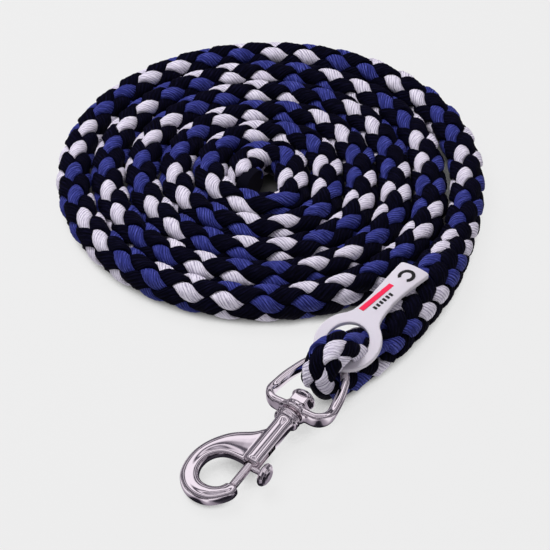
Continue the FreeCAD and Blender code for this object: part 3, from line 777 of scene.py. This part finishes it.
def hook_part():
    sections, around = 130, 44
    outer = natural_spline(HOOK_OUTER, sections)
    inner = natural_spline(HOOK_INNER, sections)
    half_thick = np.interp(np.linspace(0, 1, sections), *zip(*HOOK_THICKNESS))
    angle = ring_angles(around)
    rings = []
    for k in range(sections):
        centre, half = (outer[k] + inner[k]) / 2, (outer[k] - inner[k]) / 2
        width = np.linalg.norm(half)
        # wide sections are squarer
        exponent = 2 / (2.5 + 1.6 * min(1.0, max(0.0, (width - 3.5) / 5)))
        x = signed_power(np.cos(angle), exponent)
        z = signed_power(np.sin(angle), exponent)
        crown = 1 - 0.10 * (1 - x) / 2          # thickness falls slightly to the inner edge
        plan = centre[None, :] + half[None, :] * x[:, None]
        rings.append(np.column_stack([plan, half_thick[k] * z * crown]))
    return ring_solid("hook_part", rings)


def slot_tool():
    """Box that opens the barrel's +X side."""
    corners = [(x * MM, y * MM, z * MM)
               for x in (0.6, 8.0) for y in (-15.8, -29.5) for z in (-1.35, 1.35)]
    return solid("slot_tool", corners,
                 [(0, 1, 3, 2), (4, 6, 7, 5), (0, 4, 5, 1), (2, 3, 7, 6), (0, 2, 6, 4),
                  (1, 5, 7, 3)])


def build_snap():
    barrel_rings = [square_ring(half, power, 48, y) for y, half, power in BARREL]
    snap = join([hook_part(), ring_solid("barrel_part", barrel_rings),
                 revolve("collar_part", COLLAR, 64)], "snap_casting")
    melt(snap, CASTING_VOXEL, rounds=7)
    cut(snap, [slot_tool(),
               cylinder("bore_tool", 2.3, -6.0, -30.0, 40),     # bore of the barrel
               cylinder("bit_tool", 1.95, -38.0, -41.4, 32)])   # round seat in the hook's nose
    place(snap, SNAP_MATRIX, CHROME, "snap", "snap_body")


build_snap()

# ------------------------------------------------------------------ swivel eye
# +X half of the eye's centre line, x and y, from the strap to the top
EYE_HALF = [
    (0, 3.4), (6.0, 3.3), (10.6, 3.7), (13.4, 6.6), (13.4, 11.6), (12.4, 17.0),
    (10.9, 22.0), (8.9, 27.0), (5.2, 31.0), (0, 32.3),
]
# radius, y
EYE_BOSS = [
    (0, 1.15), (5.0, 1.15), (5.9, 1.5), (6.1, 2.1), (5.8, 2.8), (5.2, 3.2), (5.0, 5.0),
    (4.6, 5.5), (0, 5.7),
]
# half width in the plane of the eye, half thickness
EYE_ARM, EYE_STRAP = (2.1, 2.3), (1.6, 3.5)


def eye_centre_line(count):
    """Even points round the closed centre line."""
    half = np.array(EYE_HALF, float)
    loop = np.vstack([half, half[::-1][1:-1] * np.array([-1, 1])])
    # spline past both ends, then cut where it passes the first point, so that it closes smoothly
    curve = natural_spline(np.vstack([loop[-3:], loop, loop[:4]]), 4000)
    distance = np.linalg.norm(curve - loop[0], axis=1)
    first = int(np.argmin(distance[:2000]))
    last = 2000 + int(np.argmin(distance[2000:]))
    curve = curve[first:last]
    length = path_length(curve)
    at = np.linspace(0, length[-1], count, endpoint=False)
    return np.column_stack([np.interp(at, length, curve[:, 0]),
                            np.interp(at, length, curve[:, 1])])


def eye_part():
    points = eye_centre_line(180)
    tangent = normalized(np.roll(points, -1, 0) - np.roll(points, 1, 0))
    normal = np.column_stack([tangent[:, 1], -tangent[:, 0]])
    angle = ring_angles(32)
    rings = []
    for k in range(len(points)):
        strap = 1 - float(smooth_step((points[k, 1] - 3.6) / 7.5))  # 1 along the strap, 0 up the arms
        exponent = 2 / (2.3 + 1.5 * strap)
        half_width, half_thick = (arm + (base - arm) * strap
                                  for arm, base in zip(EYE_ARM, EYE_STRAP))
        x = half_width * signed_power(np.cos(angle), exponent)
        z = half_thick * signed_power(np.sin(angle), exponent)
        plan = points[k][None, :] + normal[k][None, :] * x[:, None]
        rings.append(np.column_stack([plan, z]))
    return ring_solid("eye_part", rings, closed=True)


def build_eye():
    eye = join([eye_part(), revolve("boss_part", EYE_BOSS, 64)], "swivel_eye_casting")
    melt(eye, CASTING_VOXEL, rounds=6)
    cut(eye, [cylinder("eye_bore", 2.2, 0.5, 9.0, 32)])
    place(eye, SNAP_MATRIX, CHROME, "eye", "swivel_eye")


build_eye()

# ------------------------------------------------------------------ rivet post
NECK_Y = 5.9                    # where the square neck starts, just above the eye's boss
# radius, height above the start of the neck
POST_HEAD = [
    (0, 3.2), (4.7, 3.3), (5.15, 3.7), (5.2, 4.3), (4.8, 5.2), (3.7, 6.1), (2.0, 6.6), (0, 6.7),
]


def build_post():
    """Round shank, square neck and mushroom head."""
    shank = cylinder("post_shank", 2.1, -4.0, NECK_Y + 1, 32)
    neck = ring_solid("post_neck", [square_ring(3.5, 14, 64, NECK_Y + rise)
                                    for rise in (0, 0.3, 3.0, 3.6)])
    head = revolve("post_head", [(radius, NECK_Y + rise) for radius, rise in POST_HEAD], 48)
    post = join([shank, neck, head], "swivel_rivet")
    shade(post, True)
    post.data.set_sharp_from_angle(angle=math.radians(38))
    place(post, SNAP_MATRIX, CHROME, "snap", "swivel_post")


build_post()

# ------------------------------------------------------------------ thumb stud
STUD_Y = -29.4                  # place along the snap; the stud points along the snap's +X
# radius, distance from the snap's axis
STUD = [
    (0, 1.75), (1.2, 1.75), (1.2, 5.6), (1.7, 6.2), (3.6, 6.5), (4.55, 6.9), (4.85, 7.5),
    (4.7, 8.2), (4.0, 9.0), (2.8, 9.6), (1.4, 9.9), (0, 10.0),
]


def build_stud():
    """Short stem and a domed, faceted knob."""
    knob = revolve("thumb_knob", STUD, 16)
    shade(knob, False)
    bevel = knob.modifiers.new("bevel", "BEVEL")
    bevel.width = 0.12 * MM
    bevel.segments = 2
    bevel.limit_method = "ANGLE"
    bevel.angle_limit = math.radians(12)
    bake(knob)
    matrix = (SNAP_MATRIX @ Matrix.Translation(Vector((0, STUD_Y * MM, 0)))
              @ Matrix.Rotation(math.radians(-90), 4, "Z"))
    place(knob, matrix, CHROME, "bolt", "thumb_stud")


build_stud()

# ------------------------------------------------------------------ rubber tag
# Flat tag coordinates: the ring's centre at the origin, the tongue along +Y.
TAG_CENTRE = Vector((75.565 * MM, -53.01 * MM, 20.3 * MM))
TAG_TURN = math.radians(-10.7)
TAG_TILT = math.radians(16.5)   # slope of the ring, which is lowest at its -Y side
TAG_HALF = 1.15                 # half thickness
TAG_RING_OUTER, TAG_RING_INNER = 14, 8.9
# +X edge of the tongue, from the ring to the tip
TONGUE_EDGE = [
    (6.6, 13.9), (5.9, 17.2), (5.5, 21.5), (5.35, 26.5), (5.5, 32.0), (6.0, 39.0),
    (6.6, 46.0), (6.9, 49.6), (6.75, 50.6), (5.9, 51.0),
]
# the tag's bend in the YZ plane, sampled along its flat length
BEND_STEP = 0.05
BEND_FLAT = np.linspace(-20, 60, 1601)
BEND_SLOPE = TAG_TILT * (1 - smooth_step((BEND_FLAT - 6.5) / 10.0))
BEND_Y = np.cumsum(np.cos(BEND_SLOPE)) * BEND_STEP
BEND_Z = np.cumsum(np.sin(BEND_SLOPE)) * BEND_STEP
bend_origin = int(np.argmin(np.abs(BEND_FLAT)))
BEND_Y -= BEND_Y[bend_origin]
BEND_Z -= BEND_Z[bend_origin]


def tag_outline():
    right = []
    for degrees in range(0, 146, 5):
        angle = math.radians(degrees)
        right.append((TAG_RING_OUTER * math.sin(angle), -TAG_RING_OUTER * math.cos(angle)))
    right += TONGUE_EDGE
    return right + [(-x, y) for x, y in right[1:][::-1]]


def flat_tag():
    """Extruded outline with the ring's hole."""
    curve = bpy.data.curves.new("tag_curve", "CURVE")
    curve.dimensions = "2D"
    curve.fill_mode = "BOTH"
    hole = [(TAG_RING_INNER * math.cos(angle), TAG_RING_INNER * math.sin(angle))
            for angle in ring_angles(72)]
    for points in (tag_outline(), hole):
        spline = curve.splines.new("POLY")
        spline.points.add(len(points) - 1)
        for k, (x, y) in enumerate(points):
            spline.points[k].co = (x * MM, y * MM, 0, 1)
        spline.use_cyclic_u = True
    curve.extrude = TAG_HALF * MM
    outline = link_object("tag_tmp", curve)
    depsgraph = bpy.context.evaluated_depsgraph_get()
    mesh = bpy.data.meshes.new_from_object(outline.evaluated_get(depsgraph))
    bpy.data.objects.remove(outline)
    bm = bmesh.new()
    bm.from_mesh(mesh)
    bmesh.ops.remove_doubles(bm, verts=bm.verts, dist=1e-6)
    bmesh.ops.recalc_face_normals(bm, faces=bm.faces)
    bm.to_mesh(mesh)
    bm.free()
    return link_object("rubber_tag", mesh)


def bend_tag(flat):
    """Flat tag coordinates (metres) to the frame: sloping ring, level tongue, sideways wave."""
    x, y, z = flat[:, 0] / MM, flat[:, 1] / MM, flat[:, 2] / MM
    slope = np.interp(y, BEND_FLAT, BEND_SLOPE)
    bent_x = x - 0.7 * np.sin(np.clip((y - 14) / 36, 0, 1) * math.pi)
    bent_y = np.interp(y, BEND_FLAT, BEND_Y) - z * np.sin(slope)
    bent_z = np.interp(y, BEND_FLAT, BEND_Z) + z * np.cos(slope)
    # the tongue's edges sag a little over the round splice
    bent_z = bent_z - 0.018 * bent_x ** 2 * smooth_step((y - 14) / 10)
    cos, sin = math.cos(TAG_TURN), math.sin(TAG_TURN)
    turned = np.column_stack([bent_x * cos - bent_y * sin, bent_x * sin + bent_y * cos, bent_z])
    return turned * MM + np.array(TAG_CENTRE)


def place_on_tag(obj, material, node):
    """Bends a piece made in flat tag coordinates and places it."""
    flat = np.zeros(len(obj.data.vertices) * 3)
    obj.data.vertices.foreach_get("co", flat)
    obj.data.vertices.foreach_set("co", bend_tag(flat.reshape(-1, 3)).ravel())
    obj.data.update()
    place(obj, Matrix.Identity(4), material, "tag", node)


tag = flat_tag()
melt(tag, 0.30, rounds=5)
place_on_tag(tag, RUBBER, "label_tag")

# ------------------------------------------------------------------ raised marks on the tag
MARK_TOP, MARK_BOTTOM = TAG_HALF + 0.22, TAG_HALF - 0.35


def add_marks(name, polygons, material, node):
    bm = bmesh.new()
    for points in polygons:
        top = [bm.verts.new((x * MM, y * MM, MARK_TOP * MM)) for x, y in points]
        bottom = [bm.verts.new((x * MM, y * MM, MARK_BOTTOM * MM)) for x, y in points]
        bm.faces.new(top)
        bm.faces.new(bottom[::-1])
        for i in range(len(points)):
            j = (i + 1) % len(points)
            bm.faces.new((bottom[i], bottom[j], top[j], top[i]))
    bmesh.ops.recalc_face_normals(bm, faces=bm.faces)
    mesh = bpy.data.meshes.new(name)
    bm.to_mesh(mesh)
    bm.free()
    place_on_tag(link_object(name, mesh), material, node)


def strip(x0, y0, x1, y1, width):
    """Corners of a straight strip between two points."""
    start, end = np.array([x0, y0]), np.array([x1, y1])
    direction = (end - start) / np.linalg.norm(end - start)
    offset = np.array([direction[1], -direction[0]]) * width / 2
    return [tuple(start + offset), tuple(end + offset), tuple(end - offset), tuple(start - offset)]


def dashes():
    """Six short dashes in a row along the tongue."""
    polygons = []
    for k in range(6):
        x, y = 0.24 * k, 2.1 * k
        polygons.append(strip(-0.2 + x, 19.8 + y, 1.6 + x, 19.5 + y, width=1.15))
    return polygons


def emblem():
    """Arc-shaped band near the tongue's tip, open towards the ring."""
    centre_x, centre_y, stretch = 0.6, 43.6, 1.12
    outer, inner = 3.5, 2.1
    start, sweep, pieces = -52, 284, 14
    polygons = []
    for k in range(pieces):
        a0 = math.radians(start + sweep * k / pieces)
        a1 = math.radians(start + sweep * (k + 1) / pieces)
        polygons.append([(centre_x + radius * math.cos(angle),
                          centre_y + stretch * radius * math.sin(angle))
                         for radius, angle in ((outer, a0), (outer, a1), (inner, a1), (inner, a0))])
    return polygons


add_marks("tag_red_bar", [strip(-3.6, 15.5, -1.2, 35.5, width=2.3)], RED,
          "label_bar")
add_marks("tag_black_dashes", dashes(), BLACK, "label_dots")
add_marks("tag_emblem", emblem(), BLACK, "label_emblem")

# ------------------------------------------------------------------ CAD nodes that stay as they are
for node_name, cad_material in (("rope_end_whipping", SEAL), ("buried_tail", CORE),
                                ("snap_bolt", CHROME), ("bolt_spring", STEEL)):
    cad_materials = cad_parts[node_name].data.materials
    cad_materials.clear()
    cad_materials.append(cad_material)

# ------------------------------------------------------------------ floor, in metres
FLOOR_HALF = 3.0
FLOOR_Z = -0.0010
# what polished metal sees of the floor: noise value, colour
FLOOR_REFLECTION = [
    (0.43, (0.015, 0.013, 0.020)), (0.465, (0.05, 0.045, 0.06)), (0.49, (0.26, 0.23, 0.28)),
    (0.54, (0.36, 0.32, 0.38)), (0.57, (0.50, 0.45, 0.52)), (0.62, (0.95, 0.90, 0.97)),
]


def floor_material():
    """Glowing near-white floor, dark in contact shade, and patchy grey in reflections."""
    material, tree, output = new_material("floor")
    diffuse = add_node(tree, "BsdfDiffuse", {"Color": (0.05, 0.05, 0.05, 1)})

    occlusion = add_node(tree, "AmbientOcclusion", {"Distance": 0.03}, samples=12)
    contact = map_range(tree, occlusion.outputs["AO"], from_min=0.12, from_max=0.42,
                        to_min=0.02, to_max=1.0)
    # the well in the middle of the coil lies in deep shade
    geometry = add_node(tree, "NewGeometry")
    distance = add_node(tree, "VectorMath",
                        {0: geometry.outputs["Position"], 1: (-0.0067, 0.0476, 0.0)},
                        operation="DISTANCE")
    well = map_range(tree, distance.outputs["Value"], from_min=0.017, from_max=0.024,
                     to_min=0.03, to_max=1.0)
    well_above = math_node(tree, "MAXIMUM", well, geometry.outputs["Backfacing"])
    shading = math_node(tree, "MULTIPLY", contact, well_above)
    strength = math_node(tree, "MULTIPLY", shading, 0.79)
    glow = add_node(tree, "Emission", {"Color": (1, 1, 1, 1), "Strength": strength})
    lit = add_node(tree, "AddShader", {0: diffuse.outputs[0], 1: glow.outputs[0]})

    patches = noise(tree, object_coords(tree), scale=36.0, detail=1.0, distortion=0.6)
    mirrored = add_node(tree, "Emission", {"Color": color_ramp(tree, patches, FLOOR_REFLECTION)})
    light_path = add_node(tree, "LightPath")
    mix = add_node(tree, "MixShader", {0: light_path.outputs["Is Glossy Ray"],
                                       1: lit.outputs[0], 2: mirrored.outputs[0]})
    tree.links.new(mix.outputs[0], output.inputs[0])
    return material


def build_floor():
    mesh = bpy.data.meshes.new("floor")
    size = FLOOR_HALF
    mesh.from_pydata([(-size, -size, 0), (size, -size, 0), (size, size, 0), (-size, size, 0)],
                     [], [(0, 1, 2, 3)])
    floor = link_object("floor", mesh)
    floor.location.z = FLOOR_Z
    mesh.materials.append(floor_material())


build_floor()

# ------------------------------------------------------------------ world
# banded sky that only reflections see: height of the direction, colour
SKY_REFLECTION = [
    (0.0, (0.015, 0.013, 0.018)), (0.10, (0.02, 0.018, 0.025)), (0.17, (0.30, 0.27, 0.32)),
    (0.26, (0.20, 0.18, 0.22)), (0.32, (0.02, 0.018, 0.028)), (0.42, (0.035, 0.03, 0.045)),
    (0.50, (0.50, 0.46, 0.52)), (0.58, (0.66, 0.61, 0.68)), (0.64, (0.04, 0.035, 0.05)),
    (0.70, (0.05, 0.045, 0.06)), (0.735, (0.70, 0.65, 0.72)), (0.77, (0.92, 0.86, 0.94)),
    (0.848, (0.95, 0.89, 0.97)), (0.866, (0.42, 0.38, 0.44)), (0.880, (0.05, 0.045, 0.06)),
    (0.905, (0.10, 0.09, 0.12)), (0.925, (0.85, 0.79, 0.87)), (0.955, (0.60, 0.55, 0.62)),
    (0.975, (0.05, 0.045, 0.06)), (1.0, (0.50, 0.46, 0.53)),
]


def build_world():
    world = bpy.data.worlds.new("world")
    bpy.context.scene.world = world
    world.use_nodes = True
    tree = world.node_tree
    ambient = tree.nodes["Background"]
    ambient.inputs["Color"].default_value = (0.90, 0.89, 0.93, 1)
    ambient.inputs["Strength"].default_value = 0.34
    coords = add_node(tree, "TexCoord")
    split = add_node(tree, "SeparateXYZ", {0: coords.outputs["Generated"]})
    bands = color_ramp(tree, split.outputs["Z"], SKY_REFLECTION)
    reflected = add_node(tree, "Background", {"Color": bands, "Strength": 1.16})
    light_path = add_node(tree, "LightPath")
    mix = add_node(tree, "MixShader", {0: light_path.outputs["Is Glossy Ray"],
                                       1: ambient.outputs[0], 2: reflected.outputs[0]})
    output = next(node for node in tree.nodes if node.type == "OUTPUT_WORLD")
    tree.links.new(mix.outputs[0], output.inputs[0])


build_world()

# ------------------------------------------------------------------ lights and camera, in metres
CAM_AZIMUTH, CAM_ELEVATION = math.radians(24.4), math.radians(41.5)
CAM_DISTANCE = 0.946
TARGET = Vector((22.595 * MM, -7.11 * MM, 0))
# from the target to the camera, then the camera's right and forward on the floor
BACK = Vector((math.sin(CAM_AZIMUTH) * math.cos(CAM_ELEVATION),
               -math.cos(CAM_AZIMUTH) * math.cos(CAM_ELEVATION), math.sin(CAM_ELEVATION)))
RIGHT = Vector((math.cos(CAM_AZIMUTH), math.sin(CAM_AZIMUTH), 0))
FORWARD = Vector((-math.sin(CAM_AZIMUTH), math.cos(CAM_AZIMUTH), 0))


def add_area(name, location, size, power, color):
    """Square area light aimed at the target, unseen in reflections."""
    light = bpy.data.lights.new(name, "AREA")
    light.shape = "RECTANGLE"
    light.size = size
    light.size_y = size
    light.energy = power
    light.color = color
    obj = link_object(name, light)
    obj.location = location
    obj.rotation_mode = "QUATERNION"
    obj.rotation_quaternion = (TARGET - location).to_track_quat("-Z", "Y")
    obj.visible_glossy = False


add_area("key", TARGET + FORWARD * 0.35 - RIGHT * 0.35 + Vector((0, 0, 1.0)),
         size=0.7, power=13.0, color=(1.0, 0.98, 1.0))
add_area("fill_left", TARGET - RIGHT * 1.0 - FORWARD * 0.4 + Vector((0, 0, 0.5)),
         size=0.5, power=1.9, color=(0.96, 0.95, 1.0))
add_area("fill_right", TARGET + RIGHT * 1.0 - FORWARD * 0.5 + Vector((0, 0, 0.45)),
         size=0.5, power=1.5, color=(1.0, 0.97, 1.0))


def build_camera():
    camera = bpy.data.cameras.new("camera")
    camera.lens = 144.0
    camera.sensor_width = 36.0
    camera.clip_start = 0.02
    camera.clip_end = 20.0
    obj = link_object("camera", camera)
    obj.rotation_mode = "QUATERNION"
    obj.location = TARGET + BACK * CAM_DISTANCE
    obj.rotation_quaternion = (-BACK).to_track_quat("-Z", "Y")
    bpy.context.scene.camera = obj


build_camera()
bpy.context.scene.view_settings.view_transform = "Standard"
bpy.context.scene.view_settings.look = "None"
